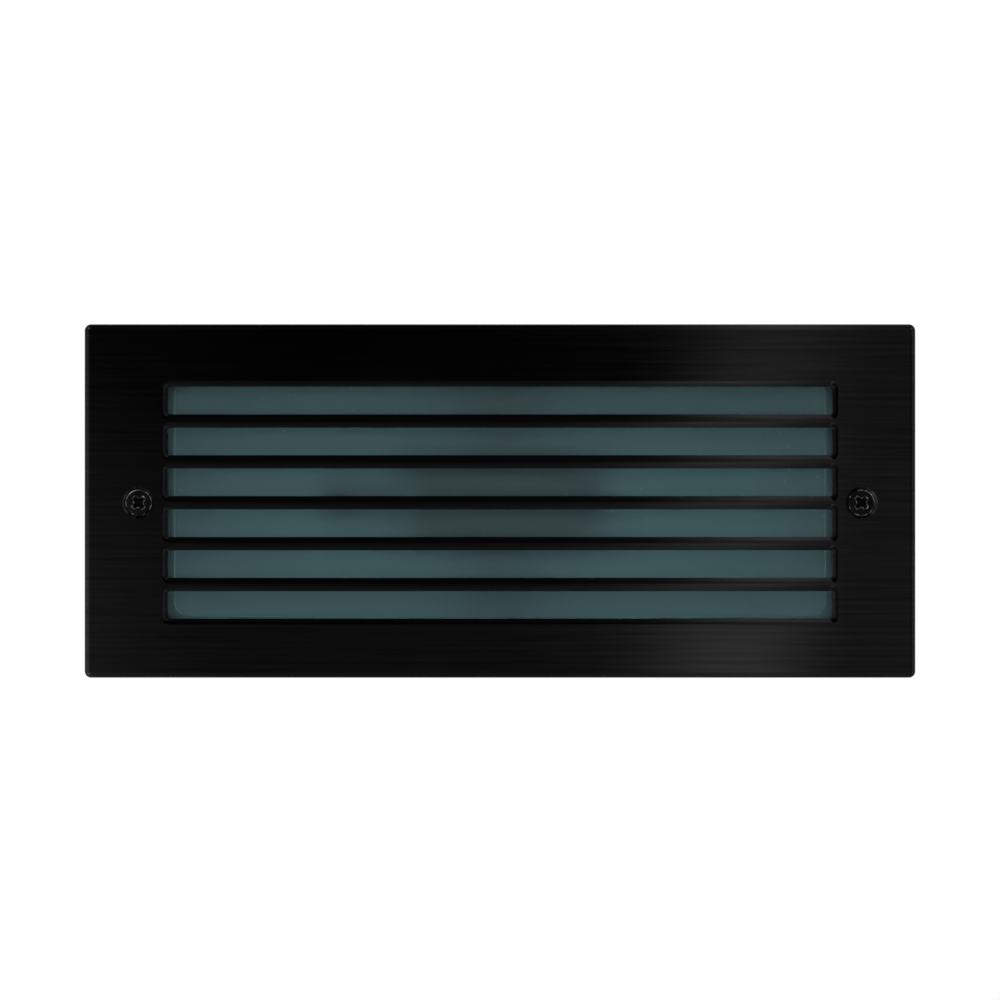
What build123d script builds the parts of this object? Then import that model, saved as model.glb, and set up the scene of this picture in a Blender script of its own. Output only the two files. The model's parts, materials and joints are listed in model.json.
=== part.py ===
from build123d import *

import math
import os

# Recessed brick light: a black louvred cover, a frosted lens and a cast box that is built into a wall.
# Millimetres. The wall's face is the plane Y = 0, the light looks along -Y and +Z is up.

# Cover plate
plate_w = 235.0
plate_h = 100.0
plate_web = 2.8
rim_wall = 2.0
rim_gap = 0.4
rim_inner_r = 1.0
plate_corner_r = 1.8
plate_edge_r = 1.6

# Louvre slots
slot_count = 6
slat_h = 3.75
band_h = 17.2
slot_drop = 0.5
slot_corner_r = 0.5
slot_roll_w = 1.6
slot_roll_depth = 0.25
slot_roll_steps = 3

# Cover screws, M4 raised countersunk, with their O-rings
screw_edge = 15.3
screw_to_slot = 8.2
screw_r = 1.95
screw_hole_r = 2.2
screw_length = 24.0
screw_point = 0.6
head_r = 3.75
head_dome = 0.5
head_land = 0.1
sink_r = 4.55
seat_gap = 0.08
recess_span = 4.4
recess_w = 1.2
recess_depth = 1.9
recess_draft = 6.0
recess_turn_left = 30.0
recess_turn_right = 45.0
boss_r = 4.0
ring_pocket_r = 3.2
ring_pocket_depth = 1.6
ring_section_r = 0.55
ring_gap = 0.1

# Lens and gaskets
lens_lap_w = 3.0
lens_lap_h = 5.2
lens_t = 3.0
lens_gap = 0.2
lens_corner_r = 6.0
panel_inset_w = 1.75
panel_inset_foot = 0.8
panel_lap_head = 1.9
panel_corner_r = 4.0
panel_bow = 0.8
panel_edge_r = 0.5
lens_gasket_t = 1.0
lens_gasket_band = 2.2
lens_gasket_inset = 0.2
rib_wall = 2.0
rib_fit = 0.6
seat_gasket_t = 1.2
seat_gasket_inset = 2.0
seat_gasket_step = 0.5
seat_gasket_hole_r = 3.0

# Cast box
flange_t = 2.0
flange_gap = 1.0
flange_corner_r = 2.0
seat_lap_w = 3.0
seat_lap_h = 4.0
cavity_r = 4.0
body_wall = 2.5
body_depth = 62.5
rear_wall = 2.5
rear_edge_r = 2.5
floor_edge_r = 1.5
draft_deg = 1.0
column_r = 4.5
column_web = 5.0
column_len = 18.5
column_floor = 2.0
tap_relief_r = 2.3
rib_count = 5
rib_pitch = 36.0
rib_w = 2.5
rib_h = 2.5
rib_tail = 0.8
rib_start = 5.0
rib_stop = 7.0
end_rib_z = 22.0

# Brass inserts
insert_r = 2.78
insert_bore_r = 2.02
insert_len = 10.0
insert_sink = 0.3
insert_fit = 0.02

# Reflector tray
tray_mouth_y = 1.5
tray_fit = 0.6
tray_depth = 29.5
tray_sheet = 1.0
tray_flare = 15.0
tray_corner_r = 4.0
post_r = 3.2
post_inset_w = 12.8
post_inset_h = 6.8
post_hole_depth = 10.0
grommet_r = 5.2
grommet_neck_r = 3.95
grommet_hole_r = 4.0
grommet_bore_r = 3.0
grommet_lip = 1.0

# Small screws, M3 pan head
small_r = 1.45
small_hole_r = 1.5
small_clear_r = 1.7
small_head_r = 2.75
small_head_h = 2.0
small_head_round = 0.8
small_recess = 2.6
small_recess_w = 0.8
small_recess_depth = 1.1
tray_screw_len = 8.0
board_screw_len = 4.6
driver_screw_len = 7.0

# LED board
board_w = 60.0
board_h = 28.0
board_t = 1.6
board_corner_r = 1.5
board_screw_inset = 4.0
pad_w = 46.0
pad_h = 24.0
pad_t = 0.5
chip_columns = 6
chip_rows = 2
chip_pitch_x = 7.0
chip_pitch_z = 10.0
chip_size = 3.0
chip_h = 0.7
connector_w = 6.0
connector_span = 6.4
connector_h = 3.5
connector_inset = 1.0

# Wall fixing and cable entries
fix_inset = 9.5
fix_hole_r = 2.25
fix_pad_r = 5.5
entry_to_fix = 22.5
entry_hole_r = 8.15
entry_pad_r = 13.5
outer_pad = 1.0

# Driver
lead_gap = 14.0
plug_room = 22.0
gear_pad = 3.0
driver_h = 30.0
driver_d = 18.0
driver_corner_r = 2.0
driver_lid_t = 2.0
driver_lid_edge_r = 0.8
ear_w = 11.0
ear_l = 7.0
ear_t = 3.0
ear_corner_r = 3.0
ear_hole_inset = 3.5

# Terminal block
entry_to_term = 27.0
term_w = 18.0
term_d = 15.0
pole_count = 3
pole_pitch = 10.0
term_corner_r = 1.0
clamp_rise = 6.0
clamp_size = 5.0
clamp_fit = 0.1
clamp_inset = 1.0
clamp_bore_r = 1.6
term_screw_r = 1.5
term_screw_fit = 0.05
term_screw_offset = 4.5
term_screw_len = 5.5
term_screw_tip = 1.0
term_slot_w = 0.6
term_slot_depth = 0.7
funnel_r = 2.2
term_notch_w = 1.2
term_notch_depth = 3.0
term_bore_r = 3.2
term_bore_depth = 4.0
term_grip = 4.0
screw_runout = 0.5

# Earth point
earth_reach = 7.0
earth_boss_r = 4.5
earth_screw_r = 1.95
earth_hole_r = 2.0
earth_head_r = 3.6
earth_head_h = 2.4
earth_screw_len = 5.5
earth_hole_depth = 6.0
lug_r = 4.0
lug_t = 0.8
lug_bore_r = 2.1
barrel_r = 1.7
barrel_bore_r = 1.0
barrel_len = 5.5
barrel_gap = 0.4
barrel_clear = 1.2
barrel_floor = 1.0
neck_lap = 1.0

# Leads
lead_r = 0.8
lead_bend_r = 3.0
lead_pair = 1.6
lead_entry = 3.0
mains_exit = 3.0
mains_run = 5.0
grommet_reach = 7.0
lug_entry = 3.0

# Cable gland and blanking plug, M16
thread_r = 7.95
thread_in = 9.0
nut_af = 22.0
nut_t = 5.0
nut_bore_r = 8.05
washer_t = 1.5
washer_r = 11.5
washer_bore_r = 8.1
collar_af = 21.0
collar_t = 5.0
neck_r = 7.0
neck_len = 8.0
gland_bore_r = 5.0
seal_seat_r = 5.6
seal_step = 0.5
seal_r = 5.5
seal_bore_r = 4.0
seal_proud = 1.0
cap_gap = 0.4
cap_af = 21.0
cap_hex_len = 7.0
cap_dome_r = 10.0
cap_dome_len = 4.6
cap_dome_edge_r = 3.0
cap_bore_r = 7.15
cap_hole_r = 4.8
cap_seat_gap = 0.2
plug_in = 7.0
plug_bore_r = 6.0
plug_head_r = 11.5
plug_head_t = 5.0
plug_head_edge_r = 1.5
plug_slot_w = 2.5
plug_slot_depth = 2.0

# Depths, from the wall's face forwards
flange_front = -flange_t
seat_front = flange_front - seat_gasket_t
lens_front = seat_front - lens_t
web_back = lens_front - lens_gasket_t
web_front = web_back - plate_web
rim_back = -rim_gap
lens_rise = lens_gasket_t - lens_gap

# Depths, from the wall's face backwards
draft = math.tan(math.radians(draft_deg))
rear_inner = body_depth - rear_wall
tray_back = tray_mouth_y + tray_depth
tray_floor = tray_back - tray_sheet
board_back = tray_floor - pad_t
board_front = board_back - board_t
gear_seat = rear_inner - gear_pad
clamp_y = gear_seat - clamp_rise
pad_out = body_depth + outer_pad

# Cover layout
screw_x = plate_w / 2 - screw_edge
screw_z = -slot_drop
slot_w = 2 * (screw_x - screw_to_slot)
slot_h = (plate_h - 2 * band_h - (slot_count - 1) * slat_h) / slot_count
slot_pitch = slot_h + slat_h
slot_heights = [slot_pitch * (i - (slot_count - 1) / 2) - slot_drop for i in range(slot_count)]
aperture_h = plate_h - 2 * band_h
head_rim_y = web_front + sink_r - head_r - head_land - seat_gap
head_apex_y = head_rim_y - head_dome
head_neck_y = head_rim_y + head_land + head_r - screw_r
screw_tip_y = head_rim_y + screw_length
ring_y = seat_front - ring_pocket_depth + ring_section_r
ring_major_r = screw_r + ring_gap + ring_section_r

# Lens and box layout
lens_w = slot_w + 2 * lens_lap_w
lens_h = aperture_h + 2 * lens_lap_h
panel_w = slot_w - 2 * panel_inset_w
panel_head_z = aperture_h / 2 - slot_drop + panel_lap_head
panel_foot_z = panel_inset_foot - aperture_h / 2 - slot_drop
panel_h = panel_head_z - panel_foot_z
panel_z = (panel_head_z + panel_foot_z) / 2
rib_in_w = lens_w + 2 * rib_fit
rib_in_h = lens_h + 2 * rib_fit
rib_in_r = lens_corner_r + rib_fit
flange_w = plate_w - 2 * (rim_wall + flange_gap)
flange_h = plate_h - 2 * (rim_wall + flange_gap)
cavity_w = lens_w - 2 * seat_lap_w
cavity_h = lens_h - 2 * seat_lap_h
body_w = cavity_w + 2 * body_wall
body_h = cavity_h + 2 * body_wall
body_r = cavity_r + body_wall
rib_end = body_depth - rib_stop

# Tray layout
flare = math.tan(math.radians(tray_flare))
tray_base_w = cavity_w - 2 * tray_fit - 2 * tray_depth * flare
tray_base_h = cavity_h - 2 * tray_fit - 2 * tray_depth * flare
tray_wall = tray_sheet / math.cos(math.radians(tray_flare)) - tray_sheet * flare
post_x = tray_base_w / 2 - post_inset_w
post_z = tray_base_h / 2 - post_inset_h
post_points = [(x, z) for x in (-post_x, post_x) for z in (-post_z, post_z)]
board_screw_x = board_w / 2 - board_screw_inset
board_screw_z = board_h / 2 - board_screw_inset
board_points = [(x, z) for x in (-board_screw_x, board_screw_x) for z in (-board_screw_z, board_screw_z)]

# Layout on the rear wall
fix_x = cavity_w / 2 - fix_inset
entry_x = fix_x - entry_to_fix
entry_points = [(-entry_x, 0), (entry_x, 0)]
fix_points = [(-fix_x, 0), (fix_x, 0)]
term_x = entry_x - entry_to_term
term_h = pole_count * pole_pitch
poles = [(i - (pole_count - 1) / 2) * pole_pitch for i in range(pole_count)]
term_screw_points = [(term_x + dx, z) for z in poles for dx in (-term_screw_offset, term_screw_offset)]
term_fix_point = (term_x, pole_pitch / 2)
term_left = term_x - term_w / 2
driver_right = term_left - lead_gap
driver_left = plug_room - entry_x
driver_w = driver_right - driver_left
driver_x = (driver_left + driver_right) / 2
ear_z = driver_h / 2 + ear_l - ear_hole_inset
ear_points = [(driver_x, -ear_z), (driver_x, ear_z)]
earth_x = driver_right + earth_reach
earth_top = clamp_y + barrel_r
barrel_top_z = poles[-1] + lead_bend_r + barrel_clear + barrel_len
earth_z = barrel_top_z + barrel_gap + lug_r
grommet_x = driver_left - grommet_reach
connector_x = -board_w / 2 + connector_inset + connector_w / 2
connector_left = connector_x - connector_w / 2
connector_lead_y = board_front - connector_h / 2

# Gland layout
collar_front = pad_out + washer_t
collar_back = collar_front + collar_t
neck_back = collar_back + neck_len
seal_front = collar_back + seal_step
seal_back = neck_back + seal_proud
cap_front = collar_back + cap_gap
cap_shoulder = cap_front + cap_hex_len
cap_back = cap_shoulder + cap_dome_len
gland_in_y = rear_inner - thread_in
plug_in_y = rear_inner - plug_in

os.makedirs("parts", exist_ok=True)


def facing(y):
    """Plane at depth y that looks out of the wall: local x is X, local y is Z and the normal is -Y."""
    return Plane.XZ.offset(-y)


def save(builder, name):
    """Label a finished piece and write it."""
    builder.part.label = name
    export_step(builder.part, f"parts/{name}.step")


def bowed_panel(width, height, bow, corner_r):
    """Rectangle with rounded corners whose long sides bow outwards."""
    with BuildSketch() as panel:
        with BuildLine():
            ThreePointArc((-width / 2, height / 2), (0, height / 2 + bow), (width / 2, height / 2))
            Line((width / 2, height / 2), (width / 2, -height / 2))
            ThreePointArc((width / 2, -height / 2), (0, -height / 2 - bow), (-width / 2, -height / 2))
            Line((-width / 2, -height / 2), (-width / 2, height / 2))
        make_face()
        fillet(panel.vertices(), corner_r)
    return panel.sketch


def slot_mouth():
    """Rolled mouth of a slot: sections that widen along a parabola up to the plate's front."""
    with BuildPart() as mouth:
        for step in range(slot_roll_steps + 1):
            share = step / slot_roll_steps
            spread = slot_roll_w * (1 - share)
            with BuildSketch(facing(web_front + slot_roll_depth * share**2)):
                RectangleRounded(slot_w + 2 * spread, slot_h + 2 * spread, slot_corner_r + spread)
        loft()
    return mouth


def cover_screw(x, turn):
    """Raised countersunk screw with a cross recess that is turned by an angle."""
    dome_r = (head_r**2 + head_dome**2) / (2 * head_dome)
    dome_y = head_apex_y + dome_r - math.sqrt(dome_r**2 - (head_r / 2) ** 2)
    with BuildPart() as screw:
        with BuildSketch(Plane.XY.offset(screw_z)):
            with BuildLine():
                ThreePointArc((x, head_apex_y), (x + head_r / 2, dome_y), (x + head_r, head_rim_y))
                Polyline(
                    (x + head_r, head_rim_y),
                    (x + head_r, head_rim_y + head_land),
                    (x + screw_r, head_neck_y),
                    (x + screw_r, screw_tip_y - screw_point),
                    (x + screw_r - screw_point, screw_tip_y),
                    (x, screw_tip_y),
                    (x, head_apex_y),
                )
            make_face()
        revolve(axis=Axis((x, 0, screw_z), (0, 1, 0)))
        with BuildSketch(facing(head_apex_y)):
            with Locations((x, screw_z)):
                Rectangle(recess_span, recess_w, rotation=turn)
                Rectangle(recess_w, recess_span, rotation=turn)
        extrude(amount=-recess_depth, taper=recess_draft, mode=Mode.SUBTRACT)
    return screw


def pan_screws(points, seat_y, length, shank_r=small_r, head_r=small_head_r, head_h=small_head_h):
    """Pan-head screws whose heads sit in front of depth seat_y at each point."""
    with BuildPart() as screws:
        with BuildSketch(facing(seat_y)):
            with Locations(*points):
                Circle(head_r)
        extrude(amount=head_h)
        fillet(screws.edges().group_by(Axis.Y)[0], small_head_round)
        with BuildSketch(facing(seat_y)):
            with Locations(*points):
                Circle(shank_r)
        extrude(amount=-length)
        with BuildSketch(facing(seat_y - head_h)):
            with Locations(*points):
                Rectangle(small_recess, small_recess_w)
                Rectangle(small_recess_w, small_recess)
        extrude(amount=-small_recess_depth, mode=Mode.SUBTRACT)
    return screws


def lead(points):
    """Insulated lead along a route of straight runs and tangent arcs."""
    with BuildPart() as tube:
        with BuildLine() as route:
            FilletPolyline(*points, radius=lead_bend_r)
        with BuildSketch(Plane(origin=route.line @ 0, z_dir=route.line % 0)):
            Circle(lead_r)
        sweep()
    return tube


# Cover plate: a shallow pan with louvre slots rolled at the front, a rib round the lens and two screw bosses
with BuildPart() as faceplate:
    with BuildSketch(facing(rim_back)):
        RectangleRounded(plate_w, plate_h, plate_corner_r)
    extrude(amount=rim_back - web_front)
    fillet(faceplate.faces().sort_by(Axis.Y)[0].edges(), plate_edge_r)
    with BuildSketch(facing(rim_back)):
        RectangleRounded(plate_w - 2 * rim_wall, plate_h - 2 * rim_wall, rim_inner_r)
    extrude(amount=rim_back - web_back, mode=Mode.SUBTRACT)
    with BuildSketch(facing(web_back)):
        with Locations(*[(0, z) for z in slot_heights]):
            RectangleRounded(slot_w, slot_h, slot_corner_r)
    extrude(amount=plate_web, mode=Mode.SUBTRACT)
    with Locations(*[(0, 0, z) for z in slot_heights]):
        add(slot_mouth().part, mode=Mode.SUBTRACT)
    with BuildSketch(facing(seat_front)):
        RectangleRounded(rib_in_w + 2 * rib_wall, rib_in_h + 2 * rib_wall, rib_in_r + rib_wall)
        with Locations((-screw_x, screw_z), (screw_x, screw_z)):
            Circle(boss_r)
        RectangleRounded(rib_in_w, rib_in_h, rib_in_r, mode=Mode.SUBTRACT)
    extrude(amount=seat_front - web_back)
    with BuildSketch(facing(seat_front)):
        with Locations((-screw_x, screw_z), (screw_x, screw_z)):
            Circle(ring_pocket_r)
    extrude(amount=ring_pocket_depth, mode=Mode.SUBTRACT)
    with Locations(facing(web_front)):
        with Locations((-screw_x, screw_z), (screw_x, screw_z)):
            CounterSinkHole(screw_hole_r, sink_r, counter_sink_angle=90)
save(faceplate, "faceplate")

# Cover screws
cover_screw_left = cover_screw(-screw_x, recess_turn_left)
save(cover_screw_left, "cover_screw_left")
cover_screw_right = cover_screw(screw_x, recess_turn_right)
save(cover_screw_right, "cover_screw_right")

# O-rings that seal the screws and keep them in the cover
with BuildPart() as screw_o_rings:
    for x in (-screw_x, screw_x):
        with BuildSketch(Plane.XY.offset(screw_z)):
            with Locations((x + ring_major_r, ring_y)):
                Circle(ring_section_r)
        revolve(axis=Axis((x, 0, screw_z), (0, 1, 0)))
save(screw_o_rings, "screw_o_rings")

# Lens: pressed glass with a raised panel behind the slots, whose head is hidden above them
with BuildPart() as lens:
    with BuildSketch(facing(seat_front)):
        RectangleRounded(lens_w, lens_h, lens_corner_r)
    extrude(amount=lens_t)
    with BuildSketch(facing(lens_front)):
        with Locations((0, panel_z)):
            add(bowed_panel(panel_w, panel_h, panel_bow, panel_corner_r))
    extrude(amount=lens_rise)
    fillet(lens.faces().sort_by(Axis.Y)[0].edges(), panel_edge_r)
save(lens, "lens")

# Gasket between the cover and the lens
with BuildPart() as lens_gasket:
    ring_w = lens_w - 2 * lens_gasket_inset
    ring_h = lens_h - 2 * lens_gasket_inset
    ring_r = lens_corner_r - lens_gasket_inset
    with BuildSketch(facing(lens_front)):
        RectangleRounded(ring_w, ring_h, ring_r)
        RectangleRounded(
            ring_w - 2 * lens_gasket_band,
            ring_h - 2 * lens_gasket_band,
            ring_r - lens_gasket_band,
            mode=Mode.SUBTRACT,
        )
    extrude(amount=lens_gasket_t)
save(lens_gasket, "lens_gasket")

# Gasket between the box's flange and both the lens and the cover
with BuildPart() as seat_gasket:
    with BuildSketch(facing(flange_front)):
        RectangleRounded(flange_w - 2 * seat_gasket_inset, flange_h - 2 * seat_gasket_inset, flange_corner_r)
        RectangleRounded(
            cavity_w + 2 * seat_gasket_step,
            cavity_h + 2 * seat_gasket_step,
            cavity_r + seat_gasket_step,
            mode=Mode.SUBTRACT,
        )
        with Locations((-screw_x, screw_z), (screw_x, screw_z)):
            Circle(seat_gasket_hole_r, mode=Mode.SUBTRACT)
    extrude(amount=seat_gasket_t)
save(seat_gasket, "seat_gasket")

# Cast box with its flange, screw columns, keying ribs, posts, gear seats and entries
with BuildPart() as housing:
    with BuildSketch(facing(0)):
        RectangleRounded(body_w, body_h, body_r)
    extrude(amount=-body_depth, taper=draft_deg)
    fillet(housing.faces().sort_by(Axis.Y)[-1].edges(), rear_edge_r)
    with BuildSketch(facing(0)):
        RectangleRounded(flange_w, flange_h, flange_corner_r)
    extrude(amount=flange_t)
    for side in (-1, 1):
        with BuildSketch(facing(0)):
            with Locations((side * screw_x, screw_z)):
                Circle(column_r)
            with Locations((side * (screw_x + body_w / 2 - body_wall / 2) / 2, screw_z)):
                Rectangle(screw_x - body_w / 2 + body_wall / 2, column_web)
        extrude(amount=-column_len)
    for i in range(rib_count):
        for side in (-1, 1):
            with BuildSketch(Plane.YZ.offset((i - (rib_count - 1) / 2) * rib_pitch)):
                Polygon(
                    (rib_start, side * (body_h / 2 - body_wall / 2 - rib_start * draft)),
                    (rib_start, side * (body_h / 2 + rib_h - rib_start * draft)),
                    (rib_end, side * (body_h / 2 + rib_tail - rib_end * draft)),
                    (rib_end, side * (body_h / 2 - body_wall / 2 - rib_end * draft)),
                    align=None,
                )
            extrude(amount=rib_w / 2, both=True)
    for z in (-end_rib_z, end_rib_z):
        for side in (-1, 1):
            with BuildSketch(Plane.XY.offset(z)):
                Polygon(
                    (side * (body_w / 2 - body_wall / 2 - rib_start * draft), rib_start),
                    (side * (body_w / 2 + rib_h - rib_start * draft), rib_start),
                    (side * (body_w / 2 + rib_tail - rib_end * draft), rib_end),
                    (side * (body_w / 2 - body_wall / 2 - rib_end * draft), rib_end),
                    align=None,
                )
            extrude(amount=rib_w / 2, both=True)
    with BuildSketch(facing(body_depth)):
        with Locations(*entry_points):
            Circle(entry_pad_r)
        with Locations(*fix_points):
            Circle(fix_pad_r)
    extrude(amount=-outer_pad)
    with BuildSketch(facing(flange_front)):
        RectangleRounded(cavity_w, cavity_h, cavity_r)
    extrude(amount=-(rear_inner - flange_front), taper=draft_deg, mode=Mode.SUBTRACT)
    floor_edges = housing.edges().filter_by_position(Axis.Y, rear_inner - 0.01, rear_inner + 0.01)
    fillet(floor_edges, floor_edge_r)
    with BuildSketch(facing(rear_inner)):
        with Locations(*post_points):
            Circle(post_r)
    extrude(amount=rear_inner - tray_back)
    with BuildSketch(facing(rear_inner)):
        with Locations((driver_x, 0)):
            RectangleRounded(driver_w, driver_h, driver_corner_r)
            RectangleRounded(ear_w, driver_h + 2 * ear_l, ear_corner_r)
        with Locations((term_x, 0)):
            RectangleRounded(term_w, term_h, term_corner_r)
    extrude(amount=gear_pad)
    with BuildSketch(facing(rear_inner)):
        with Locations((earth_x, earth_z)):
            Circle(earth_boss_r)
    extrude(amount=rear_inner - earth_top)
    with BuildSketch(facing(flange_front)):
        with Locations((-screw_x, screw_z), (screw_x, screw_z)):
            Circle(insert_r + insert_fit)
    extrude(amount=-(insert_sink + insert_len), mode=Mode.SUBTRACT)
    with BuildSketch(facing(flange_front)):
        with Locations((-screw_x, screw_z), (screw_x, screw_z)):
            Circle(tap_relief_r)
    extrude(amount=-(column_len - column_floor - flange_front), mode=Mode.SUBTRACT)
    with BuildSketch(facing(tray_back)):
        with Locations(*post_points):
            Circle(small_hole_r)
    extrude(amount=-post_hole_depth, mode=Mode.SUBTRACT)
    with BuildSketch(facing(gear_seat)):
        with Locations(*ear_points, term_fix_point):
            Circle(small_hole_r)
    extrude(amount=-(term_grip + screw_runout), mode=Mode.SUBTRACT)
    with BuildSketch(facing(earth_top)):
        with Locations((earth_x, earth_z)):
            Circle(earth_hole_r)
    extrude(amount=-earth_hole_depth, mode=Mode.SUBTRACT)
    with BuildSketch(facing(rear_inner)):
        with Locations(*entry_points):
            Circle(entry_hole_r)
        with Locations(*fix_points):
            Circle(fix_hole_r)
    extrude(amount=-(pad_out - rear_inner), mode=Mode.SUBTRACT)
save(housing, "housing")

# Brass inserts in the screw columns
with BuildPart() as screw_inserts:
    with BuildSketch(facing(flange_front + insert_sink)):
        with Locations((-screw_x, screw_z), (screw_x, screw_z)):
            Circle(insert_r)
            Circle(insert_bore_r, mode=Mode.SUBTRACT)
    extrude(amount=-insert_len)
save(screw_inserts, "screw_inserts")

# Reflector tray: a sheet pan whose sides flare to the lens
with BuildPart() as reflector_tray:
    for y in (tray_back, tray_mouth_y):
        spread = 2 * flare * (tray_back - y)
        with BuildSketch(facing(y)):
            RectangleRounded(tray_base_w + spread, tray_base_h + spread, tray_corner_r)
    loft()
    for y in (tray_floor, tray_mouth_y):
        spread = 2 * flare * (tray_floor - y) - 2 * tray_wall
        with BuildSketch(facing(y)):
            RectangleRounded(tray_base_w + spread, tray_base_h + spread, tray_corner_r - tray_wall)
    loft(mode=Mode.SUBTRACT)
    with BuildSketch(facing(tray_back)):
        with Locations(*post_points):
            Circle(small_clear_r)
        with Locations(*board_points):
            Circle(small_hole_r)
        with Locations((grommet_x, 0)):
            Circle(grommet_hole_r)
    extrude(amount=tray_sheet, mode=Mode.SUBTRACT)
save(reflector_tray, "reflector_tray")

# Screws that hold the tray on its posts
tray_screws = pan_screws(post_points, tray_floor, tray_screw_len)
save(tray_screws, "tray_screws")

# Grommet where the leads pass through the tray
with BuildPart() as tray_grommet:
    with BuildSketch(facing(tray_back + grommet_lip)):
        with Locations((grommet_x, 0)):
            Circle(grommet_r)
    extrude(amount=grommet_lip)
    with BuildSketch(facing(tray_back)):
        with Locations((grommet_x, 0)):
            Circle(grommet_neck_r)
    extrude(amount=tray_sheet)
    with BuildSketch(facing(tray_floor)):
        with Locations((grommet_x, 0)):
            Circle(grommet_r)
    extrude(amount=grommet_lip)
    with BuildSketch(facing(tray_back + grommet_lip)):
        with Locations((grommet_x, 0)):
            Circle(grommet_bore_r)
    extrude(amount=tray_sheet + 2 * grommet_lip, mode=Mode.SUBTRACT)
save(tray_grommet, "tray_grommet")

# Heat-transfer pad between the tray and the board
with BuildPart() as thermal_pad:
    with BuildSketch(facing(tray_floor)):
        Rectangle(pad_w, pad_h)
    extrude(amount=pad_t)
save(thermal_pad, "thermal_pad")

# LED board, its chips, its connector and its screws
with BuildPart() as led_board:
    with BuildSketch(facing(board_back)):
        RectangleRounded(board_w, board_h, board_corner_r)
        with Locations(*board_points):
            Circle(small_clear_r, mode=Mode.SUBTRACT)
    extrude(amount=board_t)
save(led_board, "led_board")

with BuildPart() as led_chips:
    with BuildSketch(facing(board_front)):
        with GridLocations(chip_pitch_x, chip_pitch_z, chip_columns, chip_rows):
            Rectangle(chip_size, chip_size)
    extrude(amount=chip_h)
save(led_chips, "led_chips")

with BuildPart() as led_connector:
    with BuildSketch(facing(board_front)):
        with Locations((connector_x, 0)):
            Rectangle(connector_w, connector_span)
    extrude(amount=connector_h)
save(led_connector, "led_connector")

led_board_screws = pan_screws(board_points, board_front, board_screw_len)
save(led_board_screws, "led_board_screws")

# Driver case with ears, its lid and its screws
with BuildPart() as driver_case:
    with BuildSketch(facing(gear_seat)):
        with Locations((driver_x, 0)):
            RectangleRounded(driver_w, driver_h, driver_corner_r)
    extrude(amount=driver_d - driver_lid_t)
    with BuildSketch(facing(gear_seat)):
        with Locations((driver_x, 0)):
            RectangleRounded(ear_w, driver_h + 2 * ear_l, ear_corner_r)
    extrude(amount=ear_t)
    with BuildSketch(facing(gear_seat)):
        with Locations(*ear_points):
            Circle(small_clear_r)
    extrude(amount=ear_t, mode=Mode.SUBTRACT)
save(driver_case, "driver_case")

with BuildPart() as driver_lid:
    with BuildSketch(facing(gear_seat - driver_d + driver_lid_t)):
        with Locations((driver_x, 0)):
            RectangleRounded(driver_w, driver_h, driver_corner_r)
    extrude(amount=driver_lid_t)
    fillet(driver_lid.faces().sort_by(Axis.Y)[0].edges(), driver_lid_edge_r)
save(driver_lid, "driver_lid")

driver_screws = pan_screws(ear_points, gear_seat - ear_t, driver_screw_len)
save(driver_screws, "driver_screws")

# Terminal block: a moulded body, tube clamps, clamp screws and the screw that holds the block
with BuildPart() as terminal_block:
    with BuildSketch(facing(gear_seat)):
        with Locations((term_x, 0)):
            RectangleRounded(term_w, term_h, term_corner_r)
    extrude(amount=term_d)
    with BuildSketch(Plane.YZ.offset(term_x)):
        with Locations(*[(clamp_y, z) for z in poles]):
            Rectangle(clamp_size + 2 * clamp_fit, clamp_size + 2 * clamp_fit)
    extrude(amount=term_w / 2, both=True, mode=Mode.SUBTRACT)
    with BuildSketch(facing(clamp_y)):
        with Locations(*term_screw_points):
            Circle(funnel_r)
    extrude(amount=clamp_y - gear_seat + term_d, mode=Mode.SUBTRACT)
    with BuildSketch(facing(gear_seat - term_d + term_notch_depth)):
        with Locations(*[(term_x, (a + b) / 2) for a, b in zip(poles, poles[1:])]):
            Rectangle(term_w, term_notch_w)
    extrude(amount=term_notch_depth, mode=Mode.SUBTRACT)
    with BuildSketch(facing(gear_seat)):
        with Locations(term_fix_point):
            Circle(small_clear_r)
    extrude(amount=term_d, mode=Mode.SUBTRACT)
    with BuildSketch(facing(gear_seat - term_d + term_bore_depth)):
        with Locations(term_fix_point):
            Circle(term_bore_r)
    extrude(amount=term_bore_depth, mode=Mode.SUBTRACT)
save(terminal_block, "terminal_block")

with BuildPart() as terminal_clamps:
    with BuildSketch(Plane.YZ.offset(term_x)):
        with Locations(*[(clamp_y, z) for z in poles]):
            Rectangle(clamp_size, clamp_size)
            Circle(clamp_bore_r, mode=Mode.SUBTRACT)
    extrude(amount=term_w / 2 - clamp_inset, both=True)
    with BuildSketch(facing(clamp_y)):
        with Locations(*term_screw_points):
            Circle(term_screw_r + term_screw_fit)
    extrude(amount=clamp_size, mode=Mode.SUBTRACT)
save(terminal_clamps, "terminal_clamps")

with BuildPart() as terminal_screws:
    with BuildSketch(facing(clamp_y - term_screw_tip)):
        with Locations(*term_screw_points):
            Circle(term_screw_r)
    extrude(amount=term_screw_len)
    with BuildSketch(facing(clamp_y - term_screw_tip - term_screw_len)):
        with Locations(*term_screw_points):
            Rectangle(3 * term_screw_r, term_slot_w)
    extrude(amount=-term_slot_depth, mode=Mode.SUBTRACT)
save(terminal_screws, "terminal_screws")

terminal_fixing_screw = pan_screws(
    [term_fix_point],
    gear_seat - term_d + term_bore_depth,
    term_d - term_bore_depth + term_grip,
)
save(terminal_fixing_screw, "terminal_fixing_screw")

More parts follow.
